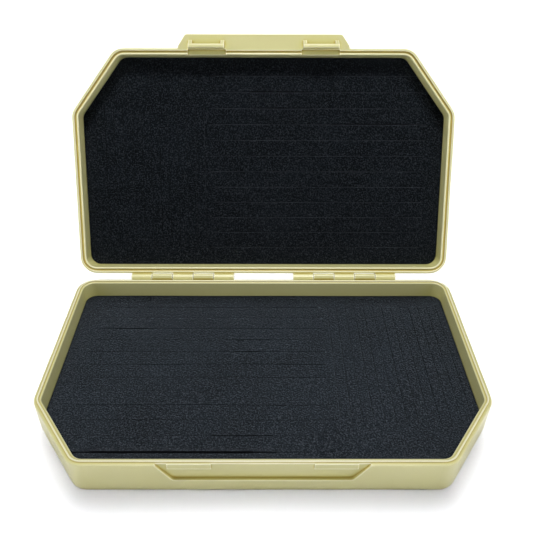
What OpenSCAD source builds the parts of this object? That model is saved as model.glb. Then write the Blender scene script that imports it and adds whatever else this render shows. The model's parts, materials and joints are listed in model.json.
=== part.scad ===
// Miniature carry case: two six-sided moulded shells on a pair of pinned hinges, each lined
// with a slit foam pad. It stands open on its base, the lid leaning back on its hinge stops.
// +X is to the right, the latch edge faces -Y, and the base stands on z = 0.

/* [Case] */
// Width of the case
case_w = 240; // [220:1:260]
// Depth of the case, without the latch tab and the hinges
case_d = 141; // [130:0.1:155]
// Height of one closed half, from its outer face to its rim
shell_h = 21; // [19:0.5:26]
// How far each cut corner comes in from the side; it runs back from the front 4/3 as far
cut_x = 28.8; // [21:0.3:36]
// Outer radius of the two back corners
back_r = 10.5; // [7:0.5:12]
// Outer radius where a side meets a cut corner
side_r = 9.9; // [7.2:0.3:13.8]
// Outer radius where a cut corner meets the front
front_r = 10.5; // [7:0.5:12]
// Thickness of the side walls
wall = 4; // [3.9:0.1:5]
// Thickness of the shell's flat face
floor_t = 2; // [1.6:0.1:3]
// Rounding of the edge between the flat face and the walls
foot_r = 2.4; // [1:0.2:3]

/* [Rim] */
// Rounding of the rim's outer edge
edge_r = 0.7; // [0.4:0.1:0.9]
// Width of the flat land outside the lid's groove and the base's tongue
land_w = 1.6; // [1.4:0.1:1.7]
// Width of the groove in the lid's rim
groove_w = 1.2; // [1:0.1:1.3]
// Depth of the groove in the lid's rim
groove_deep = 1; // [0.9:0.1:1.6]
// Height of the tongue on the base's rim, which lies in the groove when the case is closed
tongue_h = 0.8; // [0.5:0.1:0.8]
// Rounding of the rim's inner edge, and of the ridge inside the groove
ridge_r = 0.5; // [0.2:0.1:0.5]

/* [Hinges] */
// Distance from the middle of the case to the middle of each hinge
hinge_x = 53; // [44:1:60]
// Length of each hinge
hinge_len = 67; // [55:1:70]
// Distance of the hinge axis behind the back wall
hinge_off = 2.5; // [2:0.1:3]
// Radius of the hinge barrels
barrel_r = 2.4; // [2.2:0.1:3]
// Radius of the hinge pins
pin_r = 0.9; // [0.8:0.1:1.1]
// Angle that the lid opens to, measured from closed
open_angle = 115.7; // [100:0.1:120]

/* [Latch] */
// How far the latch tab stands out of the lid's front wall
tab_out = 8.2; // [7:0.1:10]
// Thickness of the latch tab
tab_t = 2.2; // [1.8:0.1:3]
// Half of the tab's width at its root
tab_root = 53.5; // [50:0.5:56]
// Half of the tab's width at its tip
tab_tip = 48; // [47:0.5:49]
// Distance from the middle of the case to the middle of each snap hook
hook_x = 35; // [32:0.1:36]
// Width of each snap hook
hook_w = 21.8; // [18:0.1:23]
// Half of the width of the base's finger recess at the rim
recess_top = 51.1; // [49:0.1:53]
// Half of the width of the finger recess at its lower edge
recess_foot = 43.4; // [40:0.1:46]
// Height of the finger recess
recess_h = 11.9; // [10:0.1:13]

/* [Foam] */
// Depth of the foam's face below the rim
foam_deep = 10.5; // [8:0.5:11]
// Thickness of the uncut backing foam
backing_t = 2; // [1:0.5:3]
// Thickness of the adhesive film that holds the foam
film_t = 0.3; // [0.2:0.1:0.5]
// Gap between the foam and the wall
foam_gap = 0.3; // [0.2:0.1:0.6]

/* [Hidden] */

$fn = 48;
eps = 0.01;

shell_colour = [0.82, 0.80, 0.60];
foam_colour = [0.13, 0.14, 0.15];
backing_colour = [0.17, 0.18, 0.19];
film_colour = [0.88, 0.87, 0.80];
pin_colour = [0.62, 0.63, 0.65];

half_w = case_w / 2;
half_d = case_d / 2;
cut_y = cut_x * 4 / 3;

// The outline's six sharp corners in order, each with its outer radius: [x, y, radius]
corners = [
    [half_w, half_d, back_r],
    [-half_w, half_d, back_r],
    [-half_w, -half_d + cut_y, side_r],
    [-half_w + cut_x, -half_d, front_r],
    [half_w - cut_x, -half_d, front_r],
    [half_w, -half_d + cut_y, side_r]
];
corner_count = len(corners);

function corner(i) = corners[(i + corner_count) % corner_count];
function spot(i) = [corner(i).x, corner(i).y];
function unit(v) = v / norm(v);
// Direction of the edge that leaves corner i, and its outward normal
function edge_dir(i) = unit(spot(i + 1) - spot(i));
function edge_out(i) = [edge_dir(i).y, -edge_dir(i).x];
function out_angle(i) = atan2(edge_out(i).y, edge_out(i).x);
// How far the outline turns at corner i, its arc's centre, and the length the arc takes of an edge
function turn(i) = acos(edge_dir(i - 1) * edge_dir(i));
function arc_centre(i) = spot(i)
    - unit(edge_out(i - 1) + edge_out(i)) * corner(i)[2] / cos(turn(i) / 2);
function arc_run(i) = corner(i)[2] * tan(turn(i) / 2);

// Points along an arc, both ends included
function arc(centre, r, from, to, steps) =
    [for (k = [0:steps]) centre + r * [cos(from + (to - from) * k / steps),
                                       sin(from + (to - from) * k / steps)]];

// The wall's section: x is the distance out from the outer face, y the height over the rim.
// The rim's own points go between its rounded outer and inner edges.
toe = 6.2;
function wall_section(rim) = concat(
    [[-toe, -shell_h]],
    arc([-foot_r, foot_r - shell_h], foot_r, -90, 0, 7),
    arc([-edge_r, -edge_r], edge_r, 0, 90, 4),
    rim,
    arc([-wall + ridge_r, -ridge_r], ridge_r, 90, 180, 4),
    [[-wall, floor_t - shell_h], [-toe, floor_t - shell_h]]
);

groove_in = -land_w - groove_w;
lid_rim = concat(
    [[-land_w, 0], [-land_w, -groove_deep], [groove_in, -groove_deep]],
    arc([groove_in - ridge_r, -ridge_r], ridge_r, 0, 90, 4)
);

tongue_gap = 0.15;
tongue_r = 0.3;
tongue_out = -land_w - tongue_gap;
tongue_in = groove_in + tongue_gap;
base_rim = concat(
    [[tongue_out, 0]],
    arc([tongue_out - tongue_r, tongue_h - tongue_r], tongue_r, 0, 90, 4),
    arc([tongue_in + tongue_r, tongue_h - tongue_r], tongue_r, 90, 180, 4),
    [[tongue_in, 0]]
);

axis_y = half_d + hinge_off;
knuckle_count = 5;
knuckle_gap = 0.3;
knuckle_pitch = (hinge_len + knuckle_gap) / knuckle_count;
lid_knuckles = [0, 2, 4];
base_knuckles = [1, 3];
swing_gap = 0.3;
run_gap = 0.05;
pin_recess = 0.5;
web_gap = 0.4;
web_in = 1;

recess_shallow = 1.1;
recess_deep = 1.9;
recess_corner = 2.5;
catch_out = 0.7;
catch_h = 3.7;
catch_w = 21;

tab_in = 1.5;
tab_corner = 2;
hook_h = 5;
hook_wall = 1.4;
hook_back = 0.65;
hook_tip_r = 1.1;
hook_lead_r = 0.4;
barb_h = 1.4;
barb_slope = 1.2;
barb_clear = 0.15;
rib_w = 2.2;
rib_root = 2.4;
rib_foot = 0.7;
rib_low = 4.4;
window_w = 23.5;
window_deep = 1.5;
window_land = 0.8;

stop_gap = 0.1;
stop_low = 3.4;
stop_high = 0.6;
stop_in = 0.4;

film_z = floor_t;
backing_z = film_z + film_t;
slit_z = backing_z + backing_t;
foam_z = shell_h - foam_deep;

// The outline brought in by a distance, with its corners still round
module outline(inset) {
    hull()
        for (i = [0:corner_count - 1])
            translate(arc_centre(i)) circle(r = corner(i)[2] - inset);
}

module wall_run(i, rim) {
    run = norm(spot(i + 1) - spot(i)) - arc_run(i) - arc_run(i + 1);
    translate(spot(i) + edge_dir(i) * (arc_run(i) + run))
        rotate([90, 0, out_angle(i)])
            linear_extrude(run) polygon(wall_section(rim));
}

// The wall round corner i: the part of a turned ring that lies between the two runs' ends
module wall_turn(i, rim) {
    r = corner(i)[2];
    reach = 2 * r;
    translate(arc_centre(i))
        intersection() {
            rotate(spot(i).x > 0 ? 180 : 0)
                rotate_extrude() translate([r, 0]) polygon(wall_section(rim));
            translate([0, 0, -shell_h - 1])
                linear_extrude(shell_h + 2)
                    polygon([
                        [0, 0], reach * edge_out(i - 1),
                        reach * (edge_out(i - 1) + edge_out(i)), reach * edge_out(i)
                    ]);
        }
}

// A sharp corner of the outline, brought in by a distance
function inset_corner(i, inset) = spot(i)
    - unit(edge_out(i - 1) + edge_out(i)) * inset / cos(turn(i) / 2);

// An open tray: rim at z = 0, flat face at z = -shell_h
module tray(rim) {
    for (i = [0:corner_count - 1]) {
        wall_run(i, rim);
        wall_turn(i, rim);
    }
    translate([0, 0, -shell_h])
        linear_extrude(floor_t)
            polygon([for (i = [0:corner_count - 1]) inset_corner(i, toe - 1)]);
}

// Draws its children, which lie in the Y-Z plane as [y, z], along X from x
module along_x(x, length) {
    translate([x, 0, 0]) rotate([90, 0, 90]) linear_extrude(length) children();
}

function knuckle_x(side, k) = side * hinge_x - hinge_len / 2 + k * knuckle_pitch;
knuckle_len = knuckle_pitch - knuckle_gap;

module axis_rod(side, k, r, extra) {
    translate([knuckle_x(side, k) - extra, axis_y, 0])
        rotate([0, 90, 0]) cylinder(r = r, h = knuckle_len + 2 * extra);
}

// One knuckle of a tray: its barrel, and the web that runs down to the back wall
module knuckle(side, k) {
    tangent = barrel_r * cos(45);
    web_low = hinge_off + 2 * tangent;
    axis_rod(side, k, barrel_r, 0);
    along_x(knuckle_x(side, k), knuckle_len)
        polygon([
            [half_d - web_in, -web_gap], [axis_y, -web_gap], [axis_y + tangent, -tangent],
            [half_d, -web_low], [half_d - web_in, -web_low]
        ]);
}

// The lug under a lid knuckle that meets the base's back wall when the lid is open
module stop_lug(side, k) {
    along_x(knuckle_x(side, k) + stop_in, knuckle_len - 2 * stop_in)
        polygon([
            [half_d + stop_gap, -stop_low], [axis_y + 0.5, 0.3 - barrel_r],
            [half_d + stop_gap, -stop_high]
        ]);
}

// A tray with its own knuckles, cut clear of the other tray's knuckles and bored for the pins
module hinged_tray(rim, own, other, bore_r) {
    difference() {
        union() {
            difference() {
                tray(rim);
                for (side = [-1, 1], k = other) axis_rod(side, k, barrel_r + swing_gap, swing_gap);
            }
            for (side = [-1, 1], k = own) knuckle(side, k);
        }
        for (side = [-1, 1], k = own) axis_rod(side, k, bore_r, 1);
    }
}

module recess_cut() {
    rise = 2;
    slope = (recess_top - recess_foot) / recess_h;
    intersection() {
        translate([0, -half_d + 10, 0]) rotate([90, 0, 0]) linear_extrude(20)
            offset(r = recess_corner) offset(delta = -recess_corner)
                polygon([
                    [-recess_top - slope * 8, 8], [-recess_foot, -recess_h],
                    [recess_foot, -recess_h], [recess_top + slope * 8, 8]
                ]);
        along_x(-half_w, case_w)
            polygon([
                [-half_d - 1, rise], [-half_d + recess_shallow, rise],
                [-half_d + recess_shallow, 0], [-half_d + recess_deep, -recess_h],
                [-half_d - 1, -recess_h]
            ]);
    }
}

// The raised pad that a snap hook slides over
module snap_catch(side) {
    translate([side * hook_x - catch_w / 2, -half_d + catch_out, -catch_h])
        cube([catch_w, recess_deep - catch_out, catch_h]);
}

module base_shell() {
    color(shell_colour) translate([0, 0, shell_h]) {
        difference() {
            hinged_tray(base_rim, base_knuckles, lid_knuckles, pin_r);
            recess_cut();
        }
        for (side = [-1, 1]) snap_catch(side);
    }
}

module latch_tab() {
    linear_extrude(tab_t)
        offset(r = tab_corner) offset(r = -2 * tab_corner) offset(r = tab_corner)
            union() {
                translate([-tab_root - 8, -half_d]) square([2 * tab_root + 16, tab_in]);
                polygon([
                    [-tab_root, -half_d], [-tab_tip, -half_d - tab_out],
                    [tab_tip, -half_d - tab_out], [tab_root, -half_d]
                ]);
            }
}

// A snap hook that hangs from the tab: a plate with a rounded tip and a barb on its inner face,
// and a sloped rib at each end of its outer face
module snap_hook(side) {
    left = side * hook_x - hook_w / 2;
    inner = -half_d - hook_back;
    outer = inner - hook_wall;
    barb = -half_d + catch_out - barb_clear;
    along_x(left, hook_w)
        polygon(concat(
            [[inner, 1], [outer, 1]],
            arc([outer + hook_tip_r, hook_tip_r - hook_h], hook_tip_r, 180, 270, 4),
            arc([barb - hook_lead_r, hook_lead_r - hook_h], hook_lead_r, 270, 360, 3),
            [[barb, barb_h - hook_h], [inner, barb_h + barb_slope - hook_h]]
        ));
    for (x = [0, hook_w - rib_w])
        along_x(left + x, rib_w)
            polygon([
                [outer + hook_tip_r, 1], [outer - rib_root, 1], [outer - rib_root, -rib_foot],
                [outer + 0.2, -rib_low], [outer + hook_tip_r, -rib_low]
            ]);
}

// The pocket behind a snap hook that interrupts the lid's groove and ridge
module rim_window(side) {
    translate([side * hook_x - window_w / 2, -half_d + window_land, -1])
        cube([window_w, wall, window_deep + 1]);
}

module lid_closed() {
    difference() {
        union() {
            mirror([0, 0, 1])
                hinged_tray(lid_rim, lid_knuckles, base_knuckles, pin_r + run_gap);
            latch_tab();
        }
        for (side = [-1, 1]) rim_window(side);
    }
    for (side = [-1, 1]) snap_hook(side);
}

// Places its children, drawn on a closed lid over z = 0, on the open lid
module opened() {
    translate([0, axis_y, shell_h]) rotate([-open_angle, 0, 0]) translate([0, -axis_y, 0])
        children();
}

module lid_shell() {
    color(shell_colour) {
        opened() lid_closed();
        translate([0, 0, shell_h]) for (side = [-1, 1], k = lid_knuckles) stop_lug(side, k);
    }
}

module hinge_pin(side) {
    color(pin_colour)
        translate([side * hinge_x - hinge_len / 2 + pin_recess, axis_y, shell_h])
            rotate([0, 90, 0]) cylinder(r = pin_r, h = hinge_len - 2 * pin_recess);
}

// A flat layer that fills the tray's inside from z = low to z = high over the outer face
module layer(low, high) {
    translate([0, 0, low]) linear_extrude(high - low) outline(wall + foam_gap);
}

// Turns a layer of the base over to the same place in the closed lid
module in_lid() {
    opened() translate([0, 0, shell_h]) mirror([0, 0, 1]) children();
}

module base_slit_foam() {
    color(foam_colour) layer(slit_z, foam_z);
}

module base_backing_foam() {
    color(backing_colour) layer(backing_z, slit_z);
}

module base_adhesive_film() {
    color(film_colour) layer(film_z, backing_z);
}

module lid_slit_foam() {
    color(foam_colour) in_lid() layer(slit_z, foam_z);
}

module lid_backing_foam() {
    color(backing_colour) in_lid() layer(backing_z, slit_z);
}

module lid_adhesive_film() {
    color(film_colour) in_lid() layer(film_z, backing_z);
}

base_shell();
lid_shell();
hinge_pin(-1);  // hinge_pin_left
hinge_pin(1);  // hinge_pin_right
base_slit_foam();
base_backing_foam();
base_adhesive_film();
lid_slit_foam();
lid_backing_foam();
lid_adhesive_film();
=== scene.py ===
"""Looks of the miniature carry case: shells, slit foam pads, hinge pins, floor, light and camera."""
import math
import json
import random

import bmesh
import bpy
from mathutils import Matrix, Vector


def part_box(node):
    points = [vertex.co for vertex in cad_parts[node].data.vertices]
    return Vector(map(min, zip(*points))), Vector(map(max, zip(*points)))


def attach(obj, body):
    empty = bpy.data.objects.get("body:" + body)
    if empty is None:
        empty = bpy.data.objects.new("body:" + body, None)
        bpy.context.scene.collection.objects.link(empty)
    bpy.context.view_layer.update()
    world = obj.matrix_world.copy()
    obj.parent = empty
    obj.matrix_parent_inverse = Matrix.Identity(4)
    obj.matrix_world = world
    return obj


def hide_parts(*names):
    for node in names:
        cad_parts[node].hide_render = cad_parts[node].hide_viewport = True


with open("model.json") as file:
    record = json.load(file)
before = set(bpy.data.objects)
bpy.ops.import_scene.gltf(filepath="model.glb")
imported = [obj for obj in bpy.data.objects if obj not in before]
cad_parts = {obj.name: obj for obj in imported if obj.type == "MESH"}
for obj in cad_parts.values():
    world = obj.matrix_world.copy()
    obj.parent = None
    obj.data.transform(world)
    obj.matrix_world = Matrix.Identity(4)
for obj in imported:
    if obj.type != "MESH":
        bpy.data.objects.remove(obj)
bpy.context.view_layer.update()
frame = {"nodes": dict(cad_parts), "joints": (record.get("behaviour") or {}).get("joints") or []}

MM = 0.001

# ---------------------------------------------------------------- sizes from the frame
base_low, base_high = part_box("base_shell")
foam_low, foam_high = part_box("base_slit_foam")
backing_low, backing_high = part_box("base_backing_foam")
hinge = frame["joints"][0]

# The case's own sizes, as part.scad has them
HALF_W = 0.120
HALF_D = 0.0705
CUT_X = 0.0288
CUT_Y = 0.0384
RIM_Z = 0.021
AXIS_Y = 0.0730
OPEN_ANGLE = math.radians(115.7)
WALL = 0.0040
FOAM_GAP = 0.0003
CORNER_R = [0.0105, 0.0105, 0.0099, 0.0105, 0.0105, 0.0099]


# ---------------------------------------------------------------- material helpers
class Nodes:
    """Short calls for building one material's node tree."""

    def __init__(self, name):
        self.material = bpy.data.materials.new(name)
        self.material.use_nodes = True
        self.tree = self.material.node_tree
        self.shader = self.tree.nodes["Principled BSDF"]
        self.output = self.tree.nodes["Material Output"]
        self.coords = self.add("ShaderNodeTexCoord").outputs["Object"]

    def add(self, kind, **settings):
        node = self.tree.nodes.new(kind)
        for key, value in settings.items():
            setattr(node, key, value)
        return node

    def link(self, source, target):
        self.tree.links.new(source, target)

    def noise(self, scale, detail=3.0, roughness=0.5, coords=None):
        node = self.add("ShaderNodeTexNoise")
        node.inputs["Scale"].default_value = scale
        node.inputs["Detail"].default_value = detail
        node.inputs["Roughness"].default_value = roughness
        self.link(coords or self.coords, node.inputs["Vector"])
        return node.outputs["Fac"]

    def cells(self, scale, feature="F1"):
        node = self.add("ShaderNodeTexVoronoi", feature=feature)
        node.inputs["Scale"].default_value = scale
        self.link(self.coords, node.inputs["Vector"])
        return node.outputs["Distance"]

    def stretched(self, x, y, z):
        node = self.add("ShaderNodeMapping")
        node.inputs["Scale"].default_value = (x, y, z)
        self.link(self.coords, node.inputs["Vector"])
        return node.outputs["Vector"]

    def ramp(self, source, low, high, from_value, to_value):
        node = self.add("ShaderNodeMapRange", clamp=True)
        node.inputs["From Min"].default_value = low
        node.inputs["From Max"].default_value = high
        node.inputs["To Min"].default_value = from_value
        node.inputs["To Max"].default_value = to_value
        self.link(source, node.inputs["Value"])
        return node.outputs["Result"]

    def math(self, operation, a, b):
        node = self.add("ShaderNodeMath", operation=operation)
        for socket, value in zip(node.inputs, (a, b)):
            if isinstance(value, (int, float)):
                socket.default_value = value
            else:
                self.link(value, socket)
        return node.outputs["Value"]

    def mix(self, factor, a, b):
        node = self.add("ShaderNodeMix", data_type="RGBA")
        sockets = {s.identifier: s for s in node.inputs}
        for key, value in (("Factor_Float", factor), ("A_Color", a), ("B_Color", b)):
            if isinstance(value, (int, float)):
                sockets[key].default_value = value
            elif isinstance(value, tuple):
                sockets[key].default_value = (*value, 1.0)
            else:
                self.link(value, sockets[key])
        return [s for s in node.outputs if s.identifier == "Result_Color"][0]

    def open_sky(self, reach, inside=False):
        """How open the surface is within a distance: 1 on an open face, lower in a groove.
        Looked at from inside, it is lower at a raised edge instead."""
        node = self.add("ShaderNodeAmbientOcclusion", samples=24, only_local=True, inside=inside)
        node.inputs["Distance"].default_value = reach
        return node.outputs["AO"]

    def softened(self, radius):
        """The surface's normal with its edges rounded by a radius."""
        node = self.add("ShaderNodeBevel", samples=8)
        node.inputs["Radius"].default_value = radius
        return node.outputs["Normal"]

    def bump(self, height, strength, distance, normal=None):
        node = self.add("ShaderNodeBump")
        node.inputs["Strength"].default_value = strength
        node.inputs["Distance"].default_value = distance
        self.link(height, node.inputs["Height"])
        if normal is not None:
            self.link(normal, node.inputs["Normal"])
        return node.outputs["Normal"]

    def set(self, socket, value):
        target = self.shader.inputs[socket]
        if isinstance(value, (int, float)):
            target.default_value = value
        elif isinstance(value, tuple):
            target.default_value = (*value, 1.0)
        else:
            self.link(value, target)


def shell_plastic():
    """Moulded khaki polypropylene: satin, finely pebbled, deeper in colour where it faces itself (painted shade),
    with a painted highlight on raised edges.
    """
    n = Nodes("shell_plastic_look")
    cloud = n.noise(18.0, 4.0, 0.55)
    flow = n.noise(9.0, 3.0, 0.6, n.stretched(1.0, 4.0, 4.0))
    speck = n.noise(1600.0, 2.0, 0.6)
    tone = n.mix(n.ramp(cloud, 0.3, 0.7, 0.0, 1.0), (0.560, 0.530, 0.250), (0.592, 0.565, 0.272))
    tone = n.mix(n.ramp(flow, 0.35, 0.75, 0.0, 0.35), tone, (0.606, 0.582, 0.286))
    tone = n.mix(n.ramp(speck, 0.56, 0.78, 0.0, 0.12), tone, (0.490, 0.455, 0.200))
    # Painted shade: where the surface is sheltered within 18 mm, as on the inner walls, the colour turns deeper and
    # yellower.
    tone = n.mix(n.ramp(n.open_sky(0.018), 0.50, 0.97, 0.85, 0.0), tone, (0.590, 0.552, 0.175))
    # Painted highlight: a near-white colour on raised edges, found by looking inward within 1 mm.
    tone = n.mix(n.ramp(n.open_sky(0.0010, inside=True), 0.35, 0.90, 1.0, 0.0), tone, (0.930, 0.910, 0.700))
    # Painted shade: a deep brown in grooves and creases, where the surface is closed in within 1.8 mm.
    tone = n.mix(n.ramp(n.open_sky(0.0018), 0.45, 0.92, 0.95, 0.0), tone, (0.440, 0.330, 0.045))
    n.set("Base Color", tone)
    n.set("Roughness", n.ramp(n.noise(260.0, 3.0, 0.6), 0.3, 0.7, 0.30, 0.34))
    n.set("IOR", 1.52)
    n.set("Specular IOR Level", 0.62)
    grain = n.bump(n.noise(2400.0, 2.0, 0.5), 0.10, 0.00006, n.softened(0.0007))
    n.set("Normal", n.bump(n.noise(70.0, 2.0, 0.5), 0.04, 0.0003, grain))
    return n.material


def pin_steel():
    """Drawn steel wire, brushed along its length."""
    n = Nodes("pin_steel_look")
    lines = n.noise(900.0, 3.0, 0.6, n.stretched(0.05, 1.0, 1.0))
    n.set("Base Color", n.mix(n.ramp(lines, 0.3, 0.7, 0.0, 1.0), (0.46, 0.46, 0.47), (0.62, 0.62, 0.63)))
    n.set("Metallic", 1.0)
    n.set("Roughness", n.ramp(lines, 0.3, 0.7, 0.24, 0.4))
    n.set("Normal", n.bump(lines, 0.2, 0.00005))
    return n.material


def foam(name, dark, light, speck, sheen=0.90):
    """Closed-cell foam: fine cells under a soft bloom, with a painted highlight along one lip of a cut."""
    n = Nodes(name)
    cell = n.cells(1250.0)
    fine = n.noise(1150.0, 2.0, 0.7)
    patch = n.noise(45.0, 4.0, 0.6)
    tone = n.mix(n.ramp(patch, 0.3, 0.7, 0.0, 1.0), dark, light)
    tone = n.mix(n.ramp(fine, 0.48, 0.70, 0.0, 1.0), tone, speck)
    tone = n.mix(n.ramp(cell, 0.0, 0.40, 0.7, 0.0), tone, (0.001, 0.001, 0.0015))
    # Painted highlight: a paler colour mixed in along one lip of each cut, where the lip would catch the light.
    lip_highlight = n.add("ShaderNodeAttribute", attribute_name="lip_highlight").outputs["Fac"]
    tone = n.mix(lip_highlight, tone, (0.075, 0.085, 0.100))
    n.set("Base Color", tone)
    n.set("Roughness", n.ramp(n.noise(700.0), 0.3, 0.7, 0.82, 0.97))
    n.set("IOR", 1.4)
    n.set("Specular IOR Level", 0.06)
    n.set("Sheen Weight", sheen)
    n.set("Sheen Roughness", 0.28)
    n.set("Sheen Tint", (0.72, 0.88, 1.0))
    pits = n.bump(cell, 0.6, 0.0004)
    n.set("Normal", n.bump(fine, 0.6, 0.0004, pits))
    return n.material


def film():
    """Double-sided adhesive film: milky, with a faint ripple."""
    n = Nodes("adhesive_film_look")
    ripple = n.noise(120.0, 3.0, 0.5)
    n.set("Base Color", n.mix(n.ramp(ripple, 0.3, 0.7, 0.0, 1.0), (0.72, 0.71, 0.63), (0.80, 0.79, 0.72)))
    n.set("Roughness", n.ramp(ripple, 0.3, 0.7, 0.45, 0.6))
    n.set("Normal", n.bump(ripple, 0.2, 0.0002))
    return n.material


# ---------------------------------------------------------------- foam pads
def outline(inset, steps=6):
    """The case's rounded outline brought in by a distance, anticlockwise from above."""
    corners = [
        (HALF_W, HALF_D), (-HALF_W, HALF_D), (-HALF_W, -HALF_D + CUT_Y),
        (-HALF_W + CUT_X, -HALF_D), (HALF_W - CUT_X, -HALF_D), (HALF_W, -HALF_D + CUT_Y),
    ]
    points = []
    for i, radius in enumerate(CORNER_R):
        here = Vector(corners[i])
        before = (here - Vector(corners[i - 1])).normalized()
        after = (Vector(corners[(i + 1) % 6]) - here).normalized()
        out_before = Vector((before.y, -before.x))
        out_after = Vector((after.y, -after.x))
        turn = math.acos(before.dot(after))
        middle = here - (out_before + out_after).normalized() * radius / math.cos(turn / 2)
        start = math.atan2(out_before.y, out_before.x)
        for k in range(steps + 1):
            angle = start + turn * k / steps
            points.append(middle + (radius - inset) * Vector((math.cos(angle), math.sin(angle))))
    return points


def smooth(value, low, high):
    t = min(max((value - low) / (high - low), 0.0), 1.0)
    return t * t * (3 - 2 * t)


class Slit:
    """One straight cut. at is where it lies across, start and end are its ends along, in mm.
    spots are (centre, reach, strength) where the foam has been pulled and the cut stands open. The last value sets
    the painted highlight along one lip."""

    def __init__(self, at, start, end, spots=(), lip_highlight=0.0):
        self.at, self.start, self.end, self.spots, self.lip_highlight = at, start, end, spots, lip_highlight

    def strength(self, along):
        fade = smooth(along, self.start - 0.8, self.start + 0.8) * (1 - smooth(along, self.end - 0.8, self.end + 0.8))
        gape = 0.0
        for centre, reach, strength in self.spots:
            gape = max(gape, strength * (1 - smooth(abs(along - centre), reach * 0.75, reach * 1.1)))
        drift = math.sin(0.11 * along + 1.7 * self.at) * math.sin(0.043 * along + 0.9 * self.at)
        return fade * min(0.65 + 0.35 * drift + 2 * gape, 1.0), gape


OFFSETS = (-1.1, -0.6, -0.33, -0.14, -0.06, 0.06, 0.14, 0.33, 0.6, 1.1)


def grid_lines(low, high, slits, pitch):
    """Positions of the grid's lines: an even pitch, and a close group at each slit."""
    lines = set()
    for slit in slits:
        for offset in OFFSETS:
            lines.add(round(slit.at + offset, 3))
    count = int((high - low) / pitch)
    for k in range(count + 1):
        here = low + (high - low) * k / count
        if all(abs(here - slit.at) > 1.5 for slit in slits):
            lines.add(round(here, 3))
    return sorted(lines)


def profile(offset, gape):
    """At a distance across a slit: the drop in mm, how near the lip is, and if it is inside the cut."""
    half = 0.06 + 0.28 * gape
    reach = abs(offset)
    if reach <= half + 0.01:
        return -0.45 - 2.2 * gape, 1.0, True
    lip = 1 - smooth(reach, half + 0.1, 0.62 + gape * 0.4)
    return -0.05 * lip, lip, False


def make_pad(name, low, high, rows, columns, seed, edge_round=0.0006):
    """A foam pad with its slits as real cuts. rows run along X and columns along Y."""
    rng = random.Random(seed)
    row_level = [rng.uniform(-0.10, 0.12) for _ in range(len(rows) + 1)]
    column_level = [rng.uniform(-0.10, 0.12) for _ in range(len(columns) + 1)]
    waves = [(rng.uniform(0.02, 0.08), rng.uniform(0.02, 0.08), rng.uniform(0, 6.28)) for _ in range(5)]
    xs = grid_lines(-118, 118, columns, 2.4)
    ss = grid_lines(2, 140, rows, 2.4)

    mesh = bmesh.new()
    layer = mesh.verts.layers.float.new("cut")
    # Per-vertex strength of the painted highlight along one lip of each cut
    lip_highlight_layer = mesh.verts.layers.float.new("lip_highlight")
    top = []
    for s in ss:
        line = []
        for x in xs:
            z = 0.0
            cut = 0.0
            lip_highlight = 0.0
            for wx, ws, phase in waves:
                z += 0.045 * math.sin(wx * x + ws * s + phase)
            for k, slit in enumerate(rows):
                offset = s - slit.at
                if abs(offset) < 1.2:
                    fade, gape = slit.strength(x)
                    drop, lip, inside = profile(offset, gape)
                    z += drop * fade + 0.10 * gape * fade * (1 if offset < 0 else -1) * lip
                    cut = max(cut, fade if inside else 0.0)
                    lip_highlight = max(lip_highlight, lip * fade * slit.lip_highlight if offset < 0 else 0.0)
                if slit.start <= x <= slit.end and slit.at <= s and (k + 1 == len(rows) or s < rows[k + 1].at):
                    z += row_level[k]
            for k, slit in enumerate(columns):
                offset = x - slit.at
                if abs(offset) < 1.2:
                    fade, gape = slit.strength(s)
                    drop, lip, inside = profile(offset, gape)
                    z += drop * fade
                    cut = max(cut, fade if inside else 0.0)
                    lip_highlight = max(lip_highlight, lip * fade * slit.lip_highlight if offset < 0 else 0.0)
                if slit.start <= s <= slit.end and slit.at <= x and (k + 1 == len(columns) or x < columns[k + 1].at):
                    z += column_level[k]
            vert = mesh.verts.new((x * MM, HALF_D - s * MM, high + z * MM))
            vert[layer] = cut
            vert[lip_highlight_layer] = lip_highlight
            line.append(vert)
        top.append(line)
    for a, b in zip(top, top[1:]):
        for k in range(len(a) - 1):
            mesh.faces.new((a[k], b[k], b[k + 1], a[k + 1]))

    points = outline(WALL + FOAM_GAP)
    for k, point in enumerate(points):
        after = points[(k + 1) % len(points)]
        along = after - point
        if along.length < 1e-7:
            continue
        out = Vector((along.y, -along.x, 0)).normalized()
        geometry = mesh.verts[:] + mesh.edges[:] + mesh.faces[:]
        bmesh.ops.bisect_plane(
            mesh, geom=geometry, plane_co=(point.x, point.y, 0), plane_no=out, clear_outer=True, dist=1e-7
        )

    # The faces inside a cut take the pad's second material, a darker foam without sheen: painted shade
    for face in mesh.faces:
        face.material_index = 1 if sum(vert[layer] for vert in face.verts) > 0.3 else 0

    # The pad's cut edge: a small rounding, then its side wall and its underside
    rim = [e for e in mesh.edges if e.is_boundary]
    for drop, inward in ((0.0003, 0.0), (None, 0.0)):
        made = bmesh.ops.extrude_edge_only(mesh, edges=rim)["geom"]
        for face in made:
            if isinstance(face, bmesh.types.BMFace):
                face.material_index = 0
        verts = [v for v in made if isinstance(v, bmesh.types.BMVert)]
        for v in verts:
            v.co.z = low if drop is None else v.co.z - drop
        rim = [e for e in made if isinstance(e, bmesh.types.BMEdge)]
    bmesh.ops.holes_fill(mesh, edges=rim, sides=0)
    bmesh.ops.recalc_face_normals(mesh, faces=mesh.faces[:])

    data = bpy.data.meshes.new(name)
    mesh.to_mesh(data)
    mesh.free()
    piece = bpy.data.objects.new(name, data)
    bpy.context.scene.collection.objects.link(piece)
    return piece


def into_open_lid(piece):
    """Moves a pad made over the base to the same place in the open lid."""
    closed = Matrix.Translation((0, 0, 2 * RIM_Z)) @ Matrix.Diagonal((1, 1, -1, 1))
    axis = Matrix.Translation((0, AXIS_Y, RIM_Z))
    turned = axis @ Matrix.Rotation(-OPEN_ANGLE, 4, "X") @ axis.inverted()
    piece.data.transform(turned @ closed)
    piece.data.flip_normals()


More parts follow.
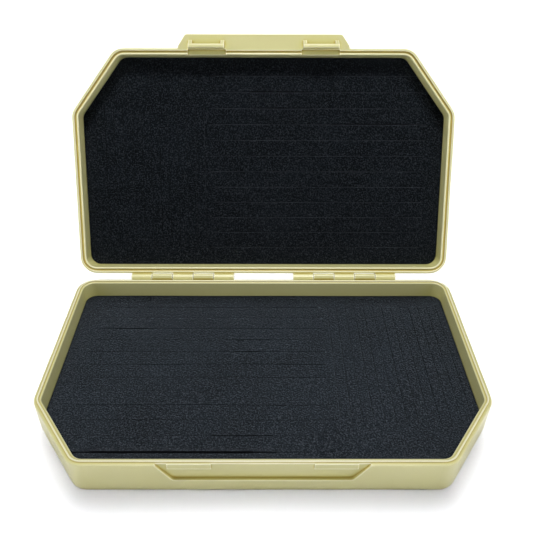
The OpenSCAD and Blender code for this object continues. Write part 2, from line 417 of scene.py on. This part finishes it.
def shade(piece, angle=35):
    """Smooth shading with the edges sharper than an angle kept."""
    data = piece.data
    data.shade_smooth()
    data.set_sharp_from_angle(angle=math.radians(angle))


def long_rows(start, end, open_spots, lip_highlight):
    """The twelve long slits, 10 mm apart, that run from side to side."""
    return [Slit(15.9 + 10.0 * k, start, end, open_spots.get(k, ()), lip_highlight) for k in range(12)]


def short_columns(first, low, high, strong):
    """The thirteen short-pitch slits, 5.8 mm apart, that run from back to front."""
    return [
        Slit(first + 5.83 * k, low, high, (), strong.get(k, 0.04)) for k in range(13)
    ]


base_rows = long_rows(-101.0, 36.0, {
    1: [(-48, 50, 0.18)],
    2: [(-80, 11, 0.5), (-55, 20, 0.2)],
    3: [(-6, 10, 0.35)],
    4: [(-9, 6, 0.5)],
    8: [(-23, 50, 0.25)],
    10: [(-11, 17, 0.3)],
    11: [(-46, 52, 0.95)],
}, 0.06)
base_columns = short_columns(41.0, 15.6, 107.6, {0: 0.16, 1: 0.12, 3: 0.14})
lid_rows = long_rows(-34.0, 105.0, {
    8: [(70, 30, 0.35)],
    9: [(12, 19, 0.4)],
    10: [(10, 22, 0.35)],
}, 0.30)
lid_columns = short_columns(-108.0, 15.6, 106.6, {12: 0.12, 11: 0.10})

shell_look = shell_plastic()
pin_look = pin_steel()
foam_look = foam(
    "slit_foam_look", (0.0022, 0.0030, 0.0040), (0.0044, 0.0060, 0.0080), (0.0300, 0.0345, 0.0410)
)
backing_look = foam(
    "backing_foam_look", (0.0060, 0.0074, 0.0090), (0.0100, 0.0120, 0.0145), (0.034, 0.038, 0.044)
)
# Painted shade: a darker copy of the foam, without sheen, for the faces inside each cut.
slit_shade_look = foam("slit_painted_shade_look", (0.0010, 0.0014, 0.0018), (0.0020, 0.0027, 0.0036), (0.006, 0.007, 0.008), 0.0)
film_look = film()

pads = []
for body, rows, columns, seed in (("base", base_rows, base_columns, 3), ("lid", lid_rows, lid_columns, 8)):
    cut_layer = make_pad(f"{body}_foam_cut_layer", foam_low.z, foam_high.z, rows, columns, seed)
    backing = make_pad(f"{body}_foam_backing", backing_low.z, backing_high.z - 0.0002, [], [], seed + 20)
    for piece, node, look, slot in (
        (cut_layer, f"{body}_slit_foam", foam_look, "slit_foam"),
        (backing, f"{body}_backing_foam", backing_look, "backing_foam"),
    ):
        if body == "lid":
            into_open_lid(piece)
        shade(piece)
        piece.data.materials.append(look)
        piece.data.materials.append(slit_shade_look)
        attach(piece, body)
        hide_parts(node)
        pads.append(piece)

# ---------------------------------------------------------------- finishes of the CAD nodes
for node, look in (
    ("base_shell", shell_look), ("lid_shell", shell_look),
    ("hinge_pin_left", pin_look), ("hinge_pin_right", pin_look),
    ("base_adhesive_film", film_look), ("lid_adhesive_film", film_look),
):
    for material_slot in frame["nodes"][node].material_slots:
        material_slot.material = look

# ---------------------------------------------------------------- floor, light and camera
def floor():
    data = bpy.data.meshes.new("studio_floor")
    mesh = bmesh.new()
    bmesh.ops.create_grid(mesh, x_segments=4, y_segments=4, size=6.0)
    mesh.to_mesh(data)
    mesh.free()
    piece = bpy.data.objects.new("studio_floor", data)
    bpy.context.scene.collection.objects.link(piece)
    n = Nodes("studio_floor_look")
    n.set("Base Color", n.mix(n.noise(3.0), (0.566, 0.568, 0.590), (0.586, 0.588, 0.610)))
    n.set("Roughness", 0.9)
    n.set("Specular IOR Level", 0.1)
    piece.data.materials.append(n.material)
    return piece


def far_light(name, elevation, azimuth, share, spread, lit=(), blockers=()):
    """A soft studio light too far off to fall away over the scene. elevation is from the front,
    over 90 is behind; share is the part of full white that it gives a surface facing it. It lights
    and is shaded by everything, or by the objects given."""
    data = bpy.data.lights.new(name, "SUN")
    data.energy = share * math.pi
    data.angle = math.radians(spread)
    light = bpy.data.objects.new(name, data)
    bpy.context.scene.collection.objects.link(light)
    up, turn = math.radians(elevation), math.radians(azimuth)
    towards = Vector((math.sin(turn) * math.cos(up), -math.cos(turn) * math.cos(up), math.sin(up)))
    light.rotation_euler = towards.to_track_quat("Z", "Y").to_euler()
    for side, members in (("receiver", lit), ("blocker", blockers)):
        if members:
            group = bpy.data.collections.new(f"{name}_{side}s")
            for member in members:
                group.objects.link(member)
            setattr(light.light_linking, f"{side}_collection", group)
    return light


ground = floor()
shells = [frame["nodes"]["base_shell"], frame["nodes"]["lid_shell"]]
pins = [frame["nodes"]["hinge_pin_left"], frame["nodes"]["hinge_pin_right"]]
far_light("lid_key", 72.0, 0.0, 0.92, 14.0, [ground, shells[1]] + pads)
far_light("base_key", 98.0, 0.0, 0.75, 20.0, [shells[0]] + pins + pads[:2])
for side in (-75.0, 75.0):
    far_light(f"side_fill_{side:+.0f}", 15.0, side, 0.35, 40.0, shells)
far_light("front_fill", 20.0, 0.0, 0.17, 40.0, shells[:1])
far_light("foam_key", 128.0, 0.0, 0.95, 30.0, pads[:2], [shells[0]])
far_light("floor_wash", 125.0, 0.0, 1.95, 50.0, [ground], [ground, shells[0]])

world = bpy.data.worlds.new("studio")
bpy.context.scene.world = world
world.use_nodes = True
backdrop = world.node_tree.nodes["Background"]
backdrop.inputs["Color"].default_value = (1.0, 1.0, 1.0, 1.0)
backdrop.inputs["Strength"].default_value = 0.09

lens = bpy.data.cameras.new("photo_camera")
lens.sensor_width = 36.0
lens.lens = 40.622
lens.shift_x = -0.00094
lens.shift_y = 0.00094
lens.clip_start = 0.01
lens.clip_end = 50.0
camera = bpy.data.objects.new("photo_camera", lens)
bpy.context.scene.collection.objects.link(camera)
camera.location = (0.00105, -0.23910, 0.26587)
camera.rotation_euler = (0.92223, -0.00272, -0.00168)
bpy.context.scene.camera = camera
bpy.context.scene.view_settings.view_transform = "Standard"
